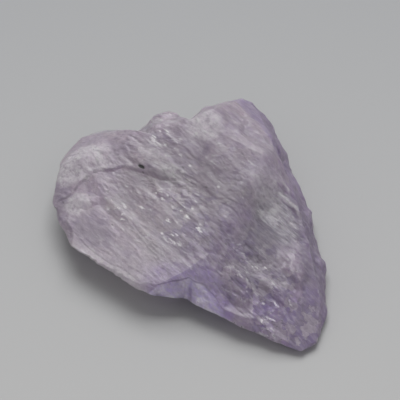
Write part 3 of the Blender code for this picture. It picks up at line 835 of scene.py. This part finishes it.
    # Dark grey laid over the dark areas: partly the crystal's darker zones, partly painted shade.
    dark_and_shade = maths("MULTIPLY", field("dark_and_shade"), ranged(cloud, 0.3, 0.7, 1.0, 0.6))
    base = mixed(dark_and_shade, base, DARK_AND_SHADE_GREY)
    base = mixed(ranged(large_shade, 0.0, 1.0, 0.08, 0.0), base, LILAC_SHADE)
    violet_block = maths("MULTIPLY", blocky, ranged(middle_tint, 0.60, 0.66, 0.0, 0.75))
    pale_block = maths("MULTIPLY", blocky, ranged(middle_tint, 0.30, 0.36, 0.75, 0.0))
    base = mixed(violet_block, base, VIOLET_BLOCK)
    base = mixed(pale_block, base, PALE_BLOCK)
    block_shade = maths("MULTIPLY", blocky, ranged(middle_shade, 0.0, 1.0, 0.4, 0.0))
    base = mixed(block_shade, base, BLOCK_SHADE)
    frost = maths("MULTIPLY", field("frost"), ranged(mottle, 0.3, 0.6, 0.7, 1.0))
    base = mixed(frost, base, FROST_WHITE)
    base = mixed(ranged(small_shade, 0.0, 1.0, 0.38, 0.0), base, LILAC_SHADE)
    base = mixed(ranged(grit, 0.34, 0.55, 0.45, 0.0), base, GRIT_SHADE)
    base = mixed(ranged(streak, 0.45, 0.7, 0.0, 0.30), base, STREAK_WHITE)
    creases = ranged(middle_edge, 0.01, 0.07, 1.0, 0.0)
    creases = maths("MULTIPLY", creases, ranged(cluster, 0.48, 0.56, 0.0, 0.5))
    creases = maths("MULTIPLY", creases, blocky)
    base = mixed(creases, base, CREASE_SHADE)
    shards = maths("MULTIPLY", shards, ranged(cluster, 0.46, 0.56, 0.0, 1.0))
    flakes_and_glints = maths("MAXIMUM", maths("MULTIPLY", dots, 0.8), shards)
    flakes_and_glints = maths("MULTIPLY", flakes_and_glints, ranged(field("sparkle"), 0.0, 1.0, 0.3, 1.0))
    # The flakes are whitened: partly painted glints, beside their lower roughness and level normals.
    base = mixed(maths("MULTIPLY", flakes_and_glints, 0.6), base, FLAKE_AND_GLINT_WHITE)
    base = mixed(maths("MULTIPLY", pits, 0.6), base, PIT_SHADE)
    base = mixed(fleck(), base, FLECK_BLACK)
    links.new(base, shader.inputs["Base Color"])

    roughness = ranged(small_shade, 0.0, 1.0, 0.32, 0.48)
    roughness = maths("ADD", roughness, maths("MULTIPLY", dark_and_shade, 0.3))
    roughness = maths("ADD", roughness, maths("MULTIPLY", frost, 0.15))
    roughness = maths("SUBTRACT", roughness, maths("MULTIPLY", flakes_and_glints, 0.2))
    links.new(roughness, shader.inputs["Roughness"])

    bump = nodes.new("ShaderNodeBump")
    bump.inputs["Strength"].default_value = BUMP_STRENGTH
    bump.inputs["Distance"].default_value = BUMP_HEIGHT
    relief = maths("ADD", maths("MULTIPLY", mottle, 0.5), maths("MULTIPLY", streak, 0.4))
    relief = maths("ADD", relief, maths("MULTIPLY", maths("MULTIPLY", groove, window), 0.6))
    relief = maths("ADD", relief, maths("MULTIPLY", small_shade, 0.15))
    relief = maths("ADD", relief, maths("MULTIPLY", maths("MULTIPLY", middle_shade, blocky), 0.6))
    relief = maths("ADD", relief, maths("MULTIPLY", large_shade, 0.15))
    links.new(relief, bump.inputs["Height"])
    normal = leant(maths("MULTIPLY", dark_and_shade, 0.35), bump.outputs["Normal"], AWAY_FROM_LIGHT)
    normal = leant(maths("MULTIPLY", field("lit"), 0.55), normal, TOWARDS_LIGHT)
    normal = leant(maths("MULTIPLY", flakes_and_glints, 0.9), normal, LEVEL)
    links.new(normal, shader.inputs["Normal"])

    inside = nodes.new("ShaderNodeVolumeAbsorption")
    inside.inputs["Color"].default_value = INSIDE_COLOUR
    inside.inputs["Density"].default_value = INSIDE_DENSITY
    links.new(inside.outputs["Volume"], nodes["Material Output"].inputs["Volume"])
    return material


def kunzite_crystal():
    """Makes the two sheets a mesh, lifts its relief along the ways it faces, and stores the colour fields."""
    plain, quads = two_sheets(SQUARES)
    mesh = bpy.data.meshes.new("kunzite_surface")
    mesh.from_pydata(plain * MM, [], quads)
    facing = np.empty(3 * len(plain), dtype=np.float32)
    mesh.vertex_normals.foreach_get("vector", facing)
    places = with_relief(plain, facing.reshape(-1, 3).astype(float))
    resting = plain[:, 2] <= 0.0
    places = np.where(resting[:, None], plain, places)
    places[:, 2] = np.maximum(places[:, 2], 0.0)
    places[:, :2] -= ORIGIN
    mesh.vertices.foreach_set("co", (places * MM).astype(np.float32).ravel())
    mesh.update()
    for name, values in colour_fields(plain).items():
        mesh.attributes.new(name, "FLOAT", "POINT").data.foreach_set("value", values.astype(np.float32))
    mesh.materials.append(kunzite())
    crystal = bpy.data.objects.new("kunzite_surface", mesh)
    bpy.context.collection.objects.link(crystal)
    return crystal


crystal = kunzite_crystal()
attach(crystal, "root")
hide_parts("kunzite_crystal")


# The floor
# A plain pale grey surface, much larger than the crystal, finished matt.
# It gets a little darker between two distances towards the back: a painted fall-off of the light.
FLOOR_HALF = 1.5
FLOOR_NEAR = -0.035
FLOOR_FAR = 0.05
FLOOR_BACKWARDS = (-0.66, 0.75, 0.0)
FLOOR_NEAR_GREY = (0.49, 0.49, 0.49, 1.0)
FLOOR_FAR_GREY = (0.36, 0.365, 0.375, 1.0)
FLOOR_ROUGHNESS = 0.75
floor_mesh = bpy.data.meshes.new("floor")
floor_mesh.from_pydata(
    [(-FLOOR_HALF, -FLOOR_HALF, 0.0), (FLOOR_HALF, -FLOOR_HALF, 0.0), (FLOOR_HALF, FLOOR_HALF, 0.0),
     (-FLOOR_HALF, FLOOR_HALF, 0.0)], [], [(0, 1, 2, 3)])
floor = bpy.data.objects.new("floor", floor_mesh)
bpy.context.collection.objects.link(floor)
floor_material = bpy.data.materials.new("pale_floor")
floor_material.use_nodes = True
floor_shader = floor_material.node_tree.nodes["Principled BSDF"]
floor_nodes = floor_material.node_tree.nodes
floor_links = floor_material.node_tree.links
floor_place = floor_nodes.new("ShaderNodeTexCoord")
towards_back = floor_nodes.new("ShaderNodeVectorMath")
towards_back.operation = "DOT_PRODUCT"
towards_back.inputs[1].default_value = FLOOR_BACKWARDS
far_share = floor_nodes.new("ShaderNodeMapRange")
far_share.inputs["From Min"].default_value = FLOOR_NEAR
far_share.inputs["From Max"].default_value = FLOOR_FAR
# Painted fall-off of the light: the floor's grey darkens towards the back.
floor_colour = floor_nodes.new("ShaderNodeMix")
floor_colour.data_type = "RGBA"
near_grey, far_grey = [entry for entry in floor_colour.inputs if entry.type == "RGBA"]
near_grey.default_value = FLOOR_NEAR_GREY
far_grey.default_value = FLOOR_FAR_GREY
floor_grey = [entry for entry in floor_colour.outputs if entry.type == "RGBA"][0]
floor_links.new(floor_place.outputs["Object"], towards_back.inputs[0])
floor_links.new(towards_back.outputs["Value"], far_share.inputs["Value"])
floor_links.new(far_share.outputs["Result"], floor_colour.inputs["Factor"])
floor_links.new(floor_grey, floor_shader.inputs["Base Color"])
floor_shader.inputs["Roughness"].default_value = FLOOR_ROUGHNESS
floor_mesh.materials.append(floor_material)


# The light
# A wide soft box high up behind the crystal, and an even pale surround.
LIGHT_PLACE = (-0.17, 0.20, 0.44)
LIGHT_SIZE = 0.40
LIGHT_POWER = 2.1
SURROUND = 0.38
light_data = bpy.data.lights.new("soft_box", "AREA")
light_data.size = LIGHT_SIZE
light_data.energy = LIGHT_POWER
light = bpy.data.objects.new("soft_box", light_data)
light.location = LIGHT_PLACE
light.rotation_euler = (-Vector(LIGHT_PLACE)).to_track_quat("-Z", "Y").to_euler()
bpy.context.collection.objects.link(light)
surround = bpy.data.worlds.new("surround")
surround.use_nodes = True
surround.node_tree.nodes["Background"].inputs["Color"].default_value = (1.0, 1.0, 1.0, 1.0)
surround.node_tree.nodes["Background"].inputs["Strength"].default_value = SURROUND
bpy.context.scene.world = surround


# The camera
# It looks down on the crystal from its front right, with the tip towards the lower right.
IMAGE_SIDE = 400
SENSOR = 36.0
CAMERA_TURN = 41.0
CAMERA_TILT = 50.0
CAMERA_DISTANCE = 180.0
MM_PER_PIXEL = 0.132
AIM = (0.0, 0.0, 5.0)
AIM_BELOW_MIDDLE = 18.0
turn, tilt = math.radians(CAMERA_TURN), math.radians(CAMERA_TILT)
back = Vector((math.sin(turn) * math.cos(tilt), -math.cos(turn) * math.cos(tilt), math.sin(tilt)))
right = Vector((math.cos(turn), math.sin(turn), 0.0))
focal_pixels = CAMERA_DISTANCE / MM_PER_PIXEL
place = Vector(AIM) - Vector((*ORIGIN, 0.0)) + back * CAMERA_DISTANCE
camera_data = bpy.data.cameras.new("camera")
camera_data.sensor_width = SENSOR
camera_data.lens = SENSOR * focal_pixels / IMAGE_SIDE
camera = bpy.data.objects.new("camera", camera_data)
raised = Matrix.Rotation(math.atan(AIM_BELOW_MIDDLE / focal_pixels), 3, right)
camera.location = place * MM
camera.rotation_euler = (raised @ -back).to_track_quat("-Z", "Y").to_euler()
bpy.context.collection.objects.link(camera)
bpy.context.scene.camera = camera
bpy.context.scene.view_settings.view_transform = "Standard"
